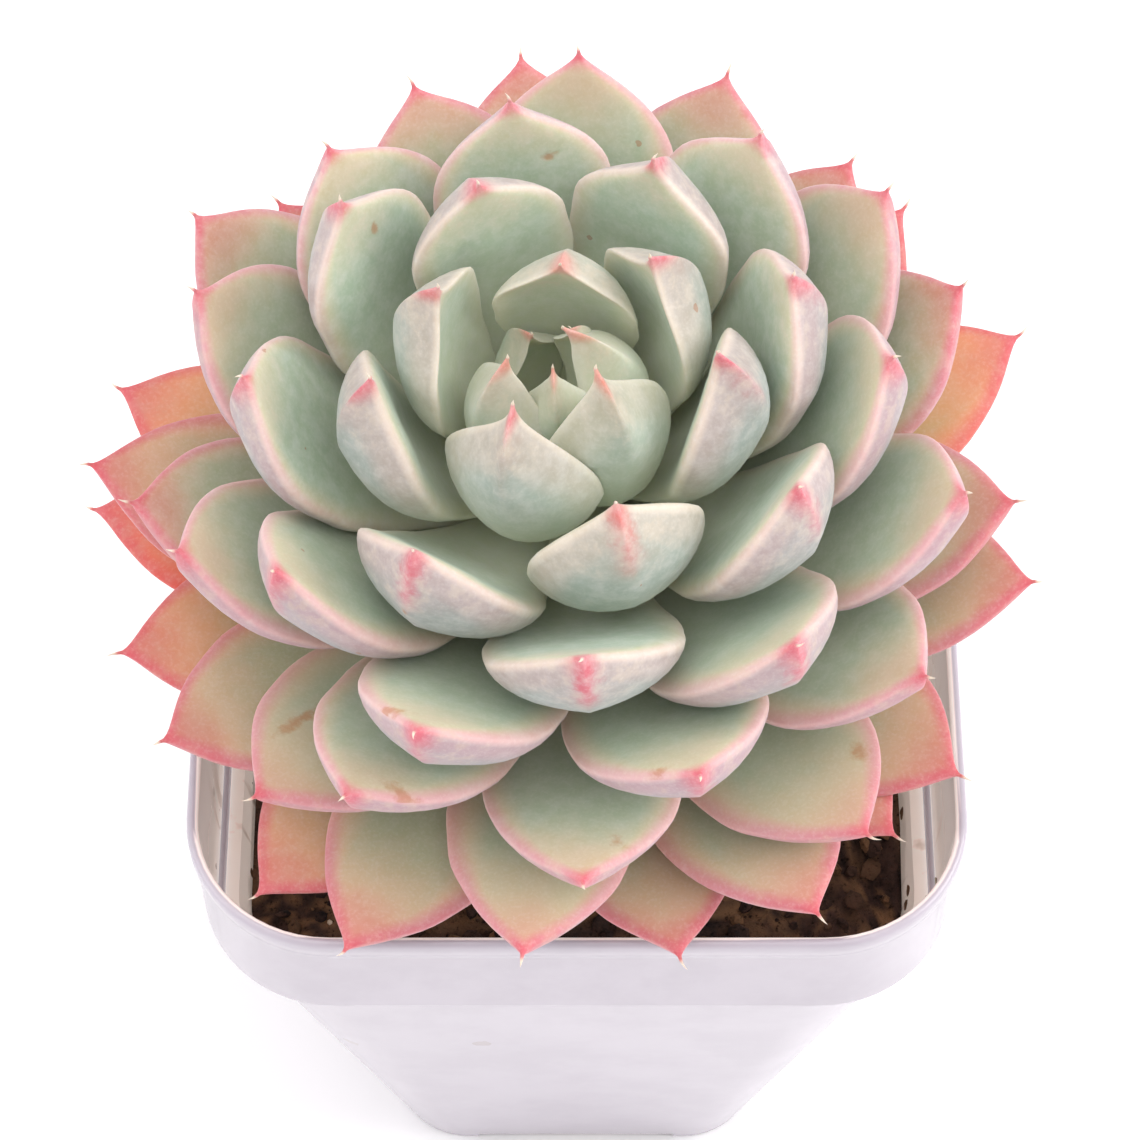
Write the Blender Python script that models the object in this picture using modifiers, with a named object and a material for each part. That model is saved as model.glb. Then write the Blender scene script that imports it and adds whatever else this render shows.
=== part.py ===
"""A rosette succulent in a square plastic pot: pot, soil, stem and 57 separate leaves.

Metres, +Z up, standing on z = 0. Lengths are set below in millimetres and scaled by MM.
The leaves follow one growth spiral, from the youngest (leaf_03) to the oldest (leaf_70).
"""

import math

import bmesh
import bpy
from mathutils import Matrix, Vector
from mathutils.bvhtree import BVHTree

MM = 0.001

# --- pot: a thin square moulding with a collar, standing on four corner feet
POT_WIDTH = 85.0
POT_HEIGHT = 94.0
POT_WALL = 1.3
RIM_CORNER = 16.0
COLLAR_HEIGHT = 17.0
COLLAR_DRAFT = 0.7
BODY_INSET = 2.2
BASE_WIDTH = 45.6
BASE_CORNER = 9.0
FLOOR_THICKNESS = 1.6
FOOT_HEIGHT = 1.6
FOOT_GAP = 25.0
DRAIN_HOLE = 8.0
SIDE_HOLE = 5.0
RIM_BAND = 1.6
RIM_STANDS_OUT = 0.6
EDGE_ROUNDING = 0.5
FOOT_ROUNDING = 0.8
CORNER_STEPS = 6

# --- soil
SOIL_DEPTH = 22.0
SOIL_CROWN = 1.5
SOIL_EDGE = 1.2
CLEARANCE = 0.3

# --- stem, in the rosette's own frame: its foot is at soil level
STEM_FOOT = (2.5, 4.5)
LEAN_FRONT = 7.0
LEAN_LEFT = 3.5
STEM_BURIED = 9.0
STEM_RADIUS = 5.4
STEM_TIP_RADIUS = 2.2
STEM_HEIGHT = 61.0

# --- leaves
FIRST_LEAF = 3
LAST_LEAF = 70
LEFT_OUT = (44, 47, 52, 55, 58, 60, 63, 65, 66, 68, 69)
FIRST_AZIMUTH = 46.5
GROWTH_TURN = 137.1
LEAF_GAP = 0.5
CLEAR_OF_ALL = 40.0
SMOOTHINGS = 4
# Leaves that grew off the rule: turn in degrees, reach and lift in millimetres.
GREW_ASTRAY = {
    3: (-3, 0, -2), 4: (2, 0, -2), 5: (0, -1, -2), 7: (0, 1, 1), 9: (-1, -1, 1),
    10: (0, 2, 1), 11: (4, 1, 1), 12: (-2, 1, 0), 13: (-5, 1, 0), 15: (-4, 2, 1),
    16: (-2, 0, 0), 17: (4, 1, -1), 19: (2, 1, 0), 20: (1, 1, 0), 22: (4, 1, -1),
    24: (1, -1, 0), 26: (4, 0, 0), 27: (2, 1, -1), 28: (-4, 0, 0), 30: (-4, 0, 0),
    31: (-4, -1, -1), 32: (3, 1, 0), 36: (-3, 2, 2), 37: (5, 0, 0), 38: (4, 1, -1),
    39: (-4, 1, 1), 45: (-4, -1, 0), 46: (5, 0, 0), 48: (-3, 1, -1), 49: (1, 3, 1),
    50: (5, 0, 1), 51: (3, 1, -1), 53: (2, -1, 0), 56: (3, 1, 0), 57: (2, 3, 1),
    59: (-2, 2, -1), 61: (-6, -2, 0), 64: (3, -3, 0), 70: (-5, 3, 2),
}


def clear_scene():
    for obj in list(bpy.data.objects):
        bpy.data.objects.remove(obj, do_unlink=True)


def collection(name):
    made = bpy.data.collections.new(name)
    bpy.context.scene.collection.children.link(made)
    return made


def material(name, colour, roughness):
    made = bpy.data.materials.new(name)
    made.use_nodes = True
    shader = made.node_tree.nodes["Principled BSDF"]
    shader.inputs["Base Color"].default_value = (*colour, 1.0)
    shader.inputs["Roughness"].default_value = roughness
    shader.inputs["Metallic"].default_value = 0.0
    return made


def mesh_object(name, points, faces, home, finish=None):
    """An object from points in millimetres and the faces between them."""
    mesh = bpy.data.meshes.new(name)
    mesh.from_pydata([Vector(point) * MM for point in points], [], faces)
    mesh.validate()
    mesh.shade_smooth()
    mesh.set_sharp_from_angle(angle=math.radians(40))
    if finish:
        mesh.materials.append(finish)
    obj = bpy.data.objects.new(name, mesh)
    home.objects.link(obj)
    return obj


def loft(rings, tip=None):
    """Faces through rings of equal length, closed by a flat cap at each end or a tip point."""
    count = len(rings[0])
    points = [point for ring in rings for point in ring]
    faces = [tuple(reversed(range(count)))]
    for start in range(0, count * (len(rings) - 1), count):
        for i in range(count):
            j = (i + 1) % count
            faces.append((start + i, start + j, start + count + j, start + count + i))
    last = count * (len(rings) - 1)
    if tip is None:
        faces.append(tuple(range(last, last + count)))
    else:
        points.append(tip)
        faces += [(last + i, last + (i + 1) % count, len(points) - 1) for i in range(count)]
    return points, faces


def square_ring(half, corner, z):
    """A square with rounded corners, counter-clockwise seen from above."""
    ring = []
    for quarter in range(4):
        turn = quarter * math.pi / 2
        centre = Vector((half - corner, half - corner)).to_3d()
        for step in range(CORNER_STEPS + 1):
            angle = step * math.pi / 2 / CORNER_STEPS
            spot = centre + Vector((math.cos(angle), math.sin(angle), 0)) * corner
            spot.rotate(Matrix.Rotation(turn, 3, "Z"))
            ring.append((spot.x, spot.y, z))
    return ring


def cutter(target, obj):
    obj.hide_render = True
    obj.display_type = "WIRE"
    cut = target.modifiers.new("cut_" + obj.name, "BOOLEAN")
    cut.operation = "DIFFERENCE"
    cut.solver = "EXACT"
    cut.object = obj


def block(name, size, centre, home):
    mesh = bpy.data.meshes.new(name)
    shape = bmesh.new()
    bmesh.ops.create_cube(shape, size=1.0)
    bmesh.ops.scale(shape, vec=Vector(size) * MM, verts=shape.verts)
    shape.to_mesh(mesh)
    shape.free()
    obj = bpy.data.objects.new(name, mesh)
    obj.location = Vector(centre) * MM
    home.objects.link(obj)
    return obj


def drill(name, diameter, centre, home):
    mesh = bpy.data.meshes.new(name)
    shape = bmesh.new()
    depth = 4 * POT_FLOOR * MM
    radius = diameter / 2 * MM
    bmesh.ops.create_cone(shape, cap_ends=True, segments=20, radius1=radius, radius2=radius,
                          depth=depth)
    shape.to_mesh(mesh)
    shape.free()
    obj = bpy.data.objects.new(name, mesh)
    obj.location = Vector((*centre, 0)) * MM
    home.objects.link(obj)
    return obj


# The pot's outline in section: half width and corner radius at a height.
RIM_HALF = POT_WIDTH / 2
COLLAR_FOOT = POT_HEIGHT - COLLAR_HEIGHT
BODY_TOP_HALF = RIM_HALF - COLLAR_DRAFT - BODY_INSET
BODY_TOP_CORNER = RIM_CORNER - COLLAR_DRAFT - BODY_INSET
BASE_HALF = BASE_WIDTH / 2
LEDGE = COLLAR_FOOT - POT_WALL / 2
POT_FLOOR = FOOT_HEIGHT + FLOOR_THICKNESS
SOIL_LEVEL = POT_HEIGHT - SOIL_DEPTH


def body_section(z):
    """Half width and corner radius of the tapered body's outside at height z."""
    up = z / COLLAR_FOOT
    half = BASE_HALF + (BODY_TOP_HALF - BASE_HALF) * up
    return half, BASE_CORNER + (BODY_TOP_CORNER - BASE_CORNER) * up


def bore_section(z, inset=0.0):
    """The section inside the body's wall at height z, drawn in by inset."""
    half, corner = body_section(min(z, LEDGE))
    return half - POT_WALL - inset, corner - POT_WALL - inset, z


def make_pot(home, cutters, finish):
    lip = POT_WALL / 2
    outside = [
        (BASE_HALF - FOOT_ROUNDING, BASE_CORNER - FOOT_ROUNDING, 0.0),
        (*body_section(FOOT_ROUNDING), FOOT_ROUNDING),
    ]
    outside += [(*body_section(z), z) for z in (COLLAR_FOOT * 0.5, COLLAR_FOOT)]
    collar_half, collar_corner = RIM_HALF - COLLAR_DRAFT, RIM_CORNER - COLLAR_DRAFT
    band_half, band_corner = RIM_HALF - RIM_STANDS_OUT, RIM_CORNER - RIM_STANDS_OUT
    outside += [
        (collar_half - EDGE_ROUNDING, collar_corner - EDGE_ROUNDING, COLLAR_FOOT),
        (collar_half, collar_corner, COLLAR_FOOT + EDGE_ROUNDING),
        (band_half, band_corner, POT_HEIGHT - 2 * RIM_BAND),
        (RIM_HALF, RIM_CORNER, POT_HEIGHT - RIM_BAND),
    ]
    for angle in (30, 60):
        away = RIM_HALF - lip + lip * math.cos(math.radians(angle))
        z = POT_HEIGHT - lip + lip * math.sin(math.radians(angle))
        outside.append((away, RIM_CORNER - RIM_HALF + away, z))
    outside.append((RIM_HALF - lip, RIM_CORNER - lip, POT_HEIGHT))
    inside = [
        (RIM_HALF - POT_WALL, RIM_CORNER - POT_WALL, POT_HEIGHT - lip),
        (collar_half - POT_WALL, collar_corner - POT_WALL, LEDGE + EDGE_ROUNDING),
        (collar_half - POT_WALL - EDGE_ROUNDING, collar_corner - POT_WALL - EDGE_ROUNDING, LEDGE),
    ]
    inside += [bore_section(z) for z in (LEDGE - EDGE_ROUNDING, COLLAR_FOOT * 0.5, POT_FLOOR)]
    rings = [square_ring(*section) for section in outside + inside]
    pot = mesh_object("pot", *loft(rings), home, finish)
    length = 2 * POT_WIDTH
    cutter(pot, block("foot_gap_x", (length, FOOT_GAP, 2 * FOOT_HEIGHT), (0, 0, 0), cutters))
    cutter(pot, block("foot_gap_y", (FOOT_GAP, length, 2 * FOOT_HEIGHT), (0, 0, 0), cutters))
    cutter(pot, drill("drain_hole", DRAIN_HOLE, (0, 0), cutters))
    off = (DRAIN_HOLE + BASE_HALF) / 2
    for i, (x, y) in enumerate(((off, 0), (0, off), (-off, 0), (0, -off))):
        cutter(pot, drill(f"side_hole_{i}", SIDE_HOLE, (x, y), cutters))
    return pot


def stem_profile(grow):
    """Radius and height down the stem's outer side, from its tip, all grown outwards by grow."""
    rows = [(0.0, STEM_HEIGHT + STEM_TIP_RADIUS / 2), (STEM_TIP_RADIUS * 0.7, STEM_HEIGHT)]
    rows += [(STEM_TIP_RADIUS, STEM_HEIGHT - STEM_TIP_RADIUS)]
    rows += [(STEM_RADIUS * 0.8, STEM_HEIGHT * 0.45)]
    rows += [(STEM_RADIUS, 0.0), (STEM_RADIUS * 0.9, -STEM_BURIED * 0.6)]
    rows += [(STEM_RADIUS * 0.5, -STEM_BURIED), (0.0, -STEM_BURIED)]
    grown = []
    for radius, z in rows:
        out = radius + grow if radius else 0.0
        grown.append((out, z - grow if z <= -STEM_BURIED else z))
    return grown


def turned(name, rows, home, finish=None):
    """A profile of radius and height, turned about the Z axis with a Screw."""
    mesh = bpy.data.meshes.new(name)
    points = [(radius * MM, 0, z * MM) for radius, z in rows]
    mesh.from_pydata(points, [(i, i + 1) for i in range(len(points) - 1)], [])
    if finish:
        mesh.materials.append(finish)
    obj = bpy.data.objects.new(name, mesh)
    home.objects.link(obj)
    screw = obj.modifiers.new("turn", "SCREW")
    screw.steps = screw.render_steps = 16
    screw.use_merge_vertices = True
    screw.merge_threshold = 0.00001
    screw.use_smooth_shade = True
    return obj


def make_soil(home, cutters, finish, rosette):
    """Fills the pot to SOIL_DEPTH under its rim, with a low crown and a socket for the stem."""
    heights = (POT_FLOOR + CLEARANCE, COLLAR_FOOT * 0.5, SOIL_LEVEL - SOIL_EDGE)
    rings = [square_ring(*bore_section(z, CLEARANCE)) for z in heights]
    half, corner, _ = bore_section(SOIL_LEVEL, CLEARANCE)
    for share, rise in ((0.93, 0.0), (0.55, 0.7), (0.25, 1.0)):
        rings.append(square_ring(half * share, corner * share, SOIL_LEVEL + SOIL_CROWN * rise))
    soil = mesh_object("soil", *loft(rings), home, finish)
    socket = turned("stem_socket", stem_profile(CLEARANCE), cutters)
    socket.parent = rosette
    cutter(soil, socket)
    return soil


# --- leaves -------------------------------------------------------------------

# Shares along a leaf's chord where its cross-sections stand, and across it from
# margin to margin: the upper skin from left to right, then the under skin back.
STATIONS = (0.0, 0.13, 0.28, 0.44, 0.60, 0.74, 0.85, 0.92, 0.965)
ACROSS_TOP = (1.0, 0.6, 0.0, -0.6, -1.0)
ACROSS_UNDER = (-0.6, 0.0, 0.6)


def blend(table, at):
    """The value at a place, read straight between the rows (place, value) of a short table."""
    for (x0, y0), (x1, y1) in zip(table, table[1:]):
        if at <= x1:
            share = max(0.0, (at - x0) / (x1 - x0))
            return y0 + (y1 - y0) * share
    return table[-1][1]


# The oldest leaves have been pushed round by the ones above, in degrees.
PUSHED_ROUND = ((0, 0), (44, 0), (50, 6), (70, 7))
# How the leaves change with age, by their number on the spiral.
TIP_REACH = ((0, 2), (3, 4.2), (9, 12), (15, 23), (22, 32.6), (30, 40.4), (43, 47), (52, 50.5), (70, 52.5))
TIP_HEIGHT = ((0, 85), (6, 88.5), (14, 86.5), (22, 81), (30, 73.7), (37, 64.6), (43, 54.5), (54, 42), (70, 29))
LEAF_WIDTH = ((0, 8), (3, 12), (6, 16.5), (14, 18.5), (24, 21), (43, 21), (65, 19.5))
LEAF_THICK = ((0, 2.2), (6, 3.4), (14, 4.8), (30, 5.2), (50, 4.6), (65, 4.0))
SAG_SHARE = ((0, 0.08), (6, 0.15), (14, 0.17), (22, 0.14), (30, 0.12), (43, 0.08), (58, 0.04), (70, 0.01))
OLD_AGE = 50
FLATTER = 1.3
BASE_PITCH = 0.5
BASE_TOP = STEM_HEIGHT - 1.0
BASE_GAP = 0.8
BASE_BREADTH = 6.6
BASE_THICK = 1.7
BASE_WRAP = 0.7
# A leaf's skins lie this share of its thickness above and below its middle, and it is
# channelled as if bent round the rosette's axis: fully where steep, less where flat.
UPPER_SKIN, UNDER_SKIN = 0.3, 0.7
FLAT_CHANNEL = 0.25

# Half width of a leaf as a share of its greatest, and its thickness likewise.
YOUNG_OUTLINE = ((0.0, 0.36), (0.13, 0.45), (0.28, 0.62), (0.44, 0.83), (0.60, 0.98),
                 (0.74, 0.99), (0.85, 0.80), (0.92, 0.50), (0.965, 0.2))
OLD_OUTLINE = ((0.0, 0.36), (0.13, 0.47), (0.28, 0.65), (0.44, 0.86), (0.60, 1.0),
               (0.74, 0.92), (0.85, 0.66), (0.92, 0.38), (0.965, 0.16))
BODY = ((0.0, 0.4), (0.28, 0.8), (0.5, 1.0), (0.74, 1.0), (0.85, 0.88), (0.92, 0.7), (0.965, 0.44))


def stem_radius(z):
    rows = sorted((height, radius) for radius, height in stem_profile(0.0))
    return blend(rows, z)


class Leaf:
    """One leaf in the rosette's frame: x runs outwards at its azimuth, y across, z up."""

    def __init__(self, number):
        turn, reach, lift = GREW_ASTRAY.get(number, (0, 0, 0))
        self.number = number
        turn += blend(PUSHED_ROUND, number)
        self.azimuth = math.radians(FIRST_AZIMUTH - GROWTH_TURN * number + turn)
        self.width = blend(LEAF_WIDTH, number)
        self.thick = blend(LEAF_THICK, number)
        tip = Vector((blend(TIP_REACH, number) + reach, 0, blend(TIP_HEIGHT, number) + lift))
        base_z = BASE_TOP - BASE_PITCH * number
        base = Vector((stem_radius(base_z) + BASE_GAP, 0, base_z))
        self.base, self.tip = base, tip
        self.along = (tip - base).normalized()
        self.length = (tip - base).length
        self.under = Vector((self.along.z, 0, -self.along.x))
        self.sag = blend(SAG_SHARE, number) * self.length
        self.drop = [[0.0] * len(ACROSS_TOP) for _ in STATIONS]

    def spot(self, station, across, side):
        """A point on the leaf: side is 1 on the upper skin, -1 on the under skin."""
        at = STATIONS[station]
        aged = min(1.0, self.number / OLD_AGE)
        share = blend(YOUNG_OUTLINE, at) * (1 - aged) + blend(OLD_OUTLINE, at) * aged
        half = self.width / 2 * share
        if station == 0:
            half = min(half, BASE_BREADTH / 2, self.base.x * BASE_WRAP)
        thick = self.thick * blend(BODY, at) if station else BASE_THICK
        sag = 4 * self.sag * at * (1 - at)
        centre = self.base + self.along * (at * self.length) + self.under * sag
        w = half * across
        slope = self.along.z * (1 - FLAT_CHANNEL) + FLAT_CHANNEL
        radius = max(centre.x, half * 1.05) * FLATTER
        rise = (radius - math.sqrt(radius * radius - w * w)) * slope
        if side > 0:
            skin = UPPER_SKIN * (1 - abs(across) ** 3)
        else:
            skin = -UNDER_SKIN * (1 - abs(across) ** 1.6)
        lift = rise + thick * skin - self.drop[station][ACROSS_TOP.index(across)]
        return centre + Vector((0, w, 0)) - self.under * lift

    def rings(self):
        made = []
        for station in range(len(STATIONS)):
            top = [self.spot(station, across, 1) for across in ACROSS_TOP]
            under = [self.spot(station, across, -1) for across in ACROSS_UNDER]
            made.append(top + under)
        return made

    def turned(self, point):
        return Matrix.Rotation(self.azimuth, 3, "Z") @ point

    def settle(self, others):
        """Lowers the leaf, where it must, to lie LEAF_GAP under the leaves above it."""
        if not others:
            return
        outward = self.turned(self.under)
        for station in range(len(STATIONS)):
            for column, across in enumerate(ACROSS_TOP):
                spot = self.turned(self.spot(station, across, 1))
                start = spot + outward * CLEAR_OF_ALL
                hit = others.ray_cast(start, -outward, CLEAR_OF_ALL + self.thick)[0]
                if hit is not None:
                    short = LEAF_GAP - (spot - hit).dot(outward)
                    self.drop[station][column] = max(0.0, short)
        for _ in range(SMOOTHINGS):
            self.smooth_drop()

    def smooth_drop(self):
        rows, columns = len(STATIONS), len(ACROSS_TOP)
        old = [list(row) for row in self.drop]
        for i in range(rows):
            for j in range(columns):
                near = [old[a][b] for a in (i - 1, i, i + 1) for b in (j - 1, j, j + 1)
                        if 0 <= a < rows and 0 <= b < columns]
                self.drop[i][j] = max(old[i][j], sum(near) / len(near))


def make_leaves(home, rosette, finishes):
    points, faces = [], []
    for number in range(FIRST_LEAF, LAST_LEAF + 1):
        if number in LEFT_OUT:
            continue
        leaf = Leaf(number)
        above = BVHTree.FromPolygons(points, faces) if faces else None
        leaf.settle(above)
        rings = leaf.rings()
        own_points, own_faces = loft(rings, leaf.tip)
        start = len(points)
        points += [leaf.turned(Vector(point)) for point in own_points]
        faces += [tuple(start + i for i in face) for face in own_faces]
        finish = finishes[min(len(finishes) - 1, number * len(finishes) // (LAST_LEAF + 1))]
        obj = mesh_object(f"leaf_{number:02d}", own_points, own_faces, home, finish)
        obj.rotation_euler = (0, 0, leaf.azimuth)
        obj.parent = rosette


def centre_over_origin(root, home):
    """Moves the whole plant so that its box is centred on the Z axis."""
    bpy.context.view_layer.update()
    corners = []
    for obj in home.objects:
        if obj.type == "MESH":
            corners += [obj.matrix_world @ vertex.co for vertex in obj.data.vertices]
    for axis in (0, 1):
        values = [corner[axis] for corner in corners]
        root.location[axis] -= (min(values) + max(values)) / 2


def main():
    clear_scene()
    plant = collection("potted_succulent")
    cutters = collection("cutters")
    root = bpy.data.objects.new("standing_point", None)
    plant.objects.link(root)
    rosette = bpy.data.objects.new("rosette", None)
    plant.objects.link(rosette)
    rosette.parent = root
    rosette.location = Vector((*STEM_FOOT, SOIL_LEVEL)) * MM
    rosette.rotation_euler = (math.radians(LEAN_FRONT), math.radians(-LEAN_LEFT), 0)
    white = material("white_gloss_plastic", (0.86, 0.85, 0.86), 0.22)
    earth = material("dark_grit_soil", (0.06, 0.035, 0.02), 0.95)
    bark = material("brown_stem", (0.30, 0.20, 0.13), 0.8)
    leaf_finishes = [
        material("young_leaf", (0.36, 0.50, 0.42), 0.6),
        material("grown_leaf", (0.46, 0.56, 0.43), 0.6),
        material("old_leaf", (0.75, 0.47, 0.33), 0.6),
    ]
    pot = make_pot(plant, cutters, white)
    soil = make_soil(plant, cutters, earth, rosette)
    stem = turned("stem", stem_profile(0.0), plant, bark)
    stem.parent = rosette
    pot.parent = soil.parent = root
    for obj in cutters.objects:
        if obj.parent is None:
            obj.parent = root
    make_leaves(plant, rosette, leaf_finishes)
    centre_over_origin(root, plant)


main()
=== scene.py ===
"""The looks of a potted rosette succulent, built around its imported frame: a glossy white
square pot, gritty soil, a scarred stem, and a spiral of thick pointed leaves that go from
powdery sage green in the heart to coral red at the outside."""

import math
import random

import bmesh
import bpy
import numpy as np
from mathutils import Matrix, Vector, noise
from mathutils.bvhtree import BVHTree


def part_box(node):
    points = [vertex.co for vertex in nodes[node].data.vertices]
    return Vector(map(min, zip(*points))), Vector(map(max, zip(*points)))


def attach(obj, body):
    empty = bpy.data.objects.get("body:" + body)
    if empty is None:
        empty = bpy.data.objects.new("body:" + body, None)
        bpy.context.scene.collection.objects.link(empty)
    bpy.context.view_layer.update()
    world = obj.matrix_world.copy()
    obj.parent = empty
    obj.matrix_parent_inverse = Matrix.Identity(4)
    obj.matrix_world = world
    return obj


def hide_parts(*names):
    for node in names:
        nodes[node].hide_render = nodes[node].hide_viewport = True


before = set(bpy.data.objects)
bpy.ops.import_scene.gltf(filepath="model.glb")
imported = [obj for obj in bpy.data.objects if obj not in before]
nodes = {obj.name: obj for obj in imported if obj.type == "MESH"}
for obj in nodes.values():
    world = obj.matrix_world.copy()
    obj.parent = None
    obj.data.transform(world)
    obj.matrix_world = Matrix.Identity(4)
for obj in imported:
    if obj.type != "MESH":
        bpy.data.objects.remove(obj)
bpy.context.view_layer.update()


# --- the pot --------------------------------------------------------------------------
# A square nursery pot of glossy white polypropylene, injection moulded in one piece: a
# tapered body, a deep collar with a rolled lip, four corner feet and five drain holes.
# Its skin is lofted through rounded squares, then the foot channels and holes are cut.

MM = 0.001
POT_WALL = 1.3 * MM
RIM_CORNER = 16 * MM
COLLAR_HEIGHT = 17 * MM
COLLAR_DRAFT = 0.7 * MM
COLLAR_ROUNDING = 1.2 * MM
BODY_INSET = 2.2 * MM
BASE_WIDTH = 45.6 * MM
BASE_CORNER = 9 * MM
FOOT_HEIGHT = 1.6 * MM
FOOT_GAP = 25 * MM
FLOOR_TOP = 3.2 * MM
FOOT_ROUNDING = 0.8 * MM
DRAIN_HOLE = 8 * MM
SIDE_HOLE = 5 * MM
LIP_BULGE = 0.6 * MM
CORNER_STEPS = 14
SIDE_STEPS = 6

pot_low, pot_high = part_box("pot")
pot_middle = (pot_low + pot_high) / 2
rim_half = (pot_high.x - pot_low.x) / 2
rim_height = pot_high.z
collar_foot = rim_height - COLLAR_HEIGHT
body_half = rim_half - COLLAR_DRAFT - BODY_INSET
body_corner = RIM_CORNER - COLLAR_DRAFT - BODY_INSET


def rounded_square(half, corner, z):
    """Points round a square with rounded corners about the pot's axis, seen from above."""
    ring = []
    for quarter in range(4):
        turn = Matrix.Rotation(quarter * math.pi / 2, 3, "Z")
        flat = half - corner
        for step in range(CORNER_STEPS + 1):
            angle = step * math.pi / 2 / CORNER_STEPS
            spot = Vector((flat + corner * math.cos(angle), flat + corner * math.sin(angle), 0))
            ring.append(turn @ spot)
        for step in range(1, SIDE_STEPS):
            across = flat * (1 - 2 * step / SIDE_STEPS)
            ring.append(turn @ Vector((across, half, 0)))
    return [spot + Vector((pot_middle.x, pot_middle.y, z)) for spot in ring]


def body_section(z):
    """Half width and corner radius of the tapered body's outside at height z."""
    up = z / collar_foot
    half = BASE_WIDTH / 2 + (body_half - BASE_WIDTH / 2) * up
    return half, BASE_CORNER + (body_corner - BASE_CORNER) * up


def rounded_edge(half, corner, z, radius, first, last, steps=4):
    """Sections round an edge of that radius whose centre is at half - radius and z."""
    made = []
    for step in range(steps + 1):
        angle = math.radians(first + (last - first) * step / steps)
        out = radius * (math.cos(angle) - 1)
        made.append((half + out, corner + out, z + radius * math.sin(angle)))
    return made


def loft_faces(rings, count):
    """Quads between neighbouring rings of count points, and a cap at each end."""
    faces = [tuple(reversed(range(count)))]
    for start in range(0, count * (rings - 1), count):
        for i in range(count):
            j = (i + 1) % count
            faces.append((start + i, start + j, start + count + j, start + count + i))
    faces.append(tuple(range(count * (rings - 1), count * rings)))
    return faces


def mesh_piece(name, points, faces, sharp=40):
    mesh = bpy.data.meshes.new(name)
    mesh.from_pydata([tuple(point) for point in points], [], faces)
    mesh.update()
    mesh.shade_smooth()
    mesh.set_sharp_from_angle(angle=math.radians(sharp))
    piece = bpy.data.objects.new(name, mesh)
    bpy.context.scene.collection.objects.link(piece)
    return piece


def cut_away(piece, shapes):
    """Cuts each shape, a bmesh and where it stands, out of the piece, and drops the shape."""
    helpers = []
    for shape, place in shapes:
        bmesh.ops.translate(shape, vec=place, verts=shape.verts)
        mesh = bpy.data.meshes.new("cutter")
        shape.to_mesh(mesh)
        shape.free()
        helper = bpy.data.objects.new("cutter", mesh)
        bpy.context.scene.collection.objects.link(helper)
        cut = piece.modifiers.new("cut", "BOOLEAN")
        cut.operation, cut.solver, cut.object = "DIFFERENCE", "EXACT", helper
        helpers.append(helper)
    graph = bpy.context.evaluated_depsgraph_get()
    done = bpy.data.meshes.new_from_object(piece.evaluated_get(graph))
    piece.modifiers.clear()
    piece.data = done
    for helper in helpers:
        bpy.data.objects.remove(helper)


def block(size):
    shape = bmesh.new()
    bmesh.ops.create_cube(shape, size=1)
    bmesh.ops.scale(shape, vec=size, verts=shape.verts)
    return shape


def plug(diameter, depth):
    shape = bmesh.new()
    bmesh.ops.create_cone(shape, cap_ends=True, segments=40, radius1=diameter / 2,
                          radius2=diameter / 2, depth=depth)
    return shape


lip = POT_WALL / 2
collar_half, collar_corner = rim_half - COLLAR_DRAFT, RIM_CORNER - COLLAR_DRAFT
neck = rim_height - 3.2 * MM
outside = [(BASE_WIDTH / 2 - FOOT_ROUNDING, BASE_CORNER - FOOT_ROUNDING, 0.0)]
outside += rounded_edge(*body_section(FOOT_ROUNDING), FOOT_ROUNDING, FOOT_ROUNDING, -60, 0)
outside += [(*body_section(share * collar_foot), share * collar_foot) for share in
            (0.1, 0.25, 0.5, 0.75, 0.93, 0.985)]
outside += [(body_half + 0.15 * MM, body_corner + 0.15 * MM, collar_foot - 0.25 * MM)]
outside += rounded_edge(collar_half, collar_corner, collar_foot + COLLAR_ROUNDING,
                        COLLAR_ROUNDING, -82, 0, 6)
outside += [(rim_half - LIP_BULGE, RIM_CORNER - LIP_BULGE, neck - 0.8 * MM)]
outside += [(rim_half - LIP_BULGE * 0.75, RIM_CORNER - LIP_BULGE * 0.75, neck)]
outside += [(rim_half - LIP_BULGE * 0.2, RIM_CORNER - LIP_BULGE * 0.2, neck + 0.7 * MM)]
outside += rounded_edge(rim_half, RIM_CORNER, rim_height - 1.5 * MM, lip, -20, 0, 1)
outside += rounded_edge(rim_half, RIM_CORNER, rim_height - lip, lip, 0, 90, 5)
inside = rounded_edge(rim_half, RIM_CORNER, rim_height - lip, lip, 110, 180, 4)
ledge = collar_foot - POT_WALL / 2
inside += [(collar_half - POT_WALL, collar_corner - POT_WALL, ledge + 0.9 * MM)]
inside += [(collar_half - POT_WALL - 0.5 * MM, collar_corner - POT_WALL - 0.5 * MM, ledge)]
for height in (ledge - 0.6 * MM, collar_foot * 0.75, collar_foot * 0.5, FLOOR_TOP + 1.5 * MM):
    half, corner = body_section(height)
    inside.append((half - POT_WALL, corner - POT_WALL, height))
half, corner = body_section(FLOOR_TOP)
inside.append((half - POT_WALL - 1.2 * MM, corner - POT_WALL - 1.2 * MM, FLOOR_TOP))
sections = outside + inside
rings = [rounded_square(*section) for section in sections]
pot = mesh_piece("pot_shell", sum(rings, []), loft_faces(len(rings), len(rings[0])))
cutters = [
    (block((4 * rim_half, FOOT_GAP, 2 * FOOT_HEIGHT)), Vector((*pot_middle.xy, 0))),
    (block((FOOT_GAP, 4 * rim_half, 2 * FOOT_HEIGHT)), Vector((*pot_middle.xy, 0))),
    (plug(DRAIN_HOLE, 4 * FLOOR_TOP), Vector((*pot_middle.xy, 0))),
]
hole_out = (DRAIN_HOLE + BASE_WIDTH / 2) / 2
for x, y in ((1, 0), (0, 1), (-1, 0), (0, -1)):
    place = Vector((pot_middle.x + x * hole_out, pot_middle.y + y * hole_out, 0))
    cutters.append((plug(SIDE_HOLE, 4 * FLOOR_TOP), place))
cut_away(pot, cutters)
pot.data.shade_smooth()
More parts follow.
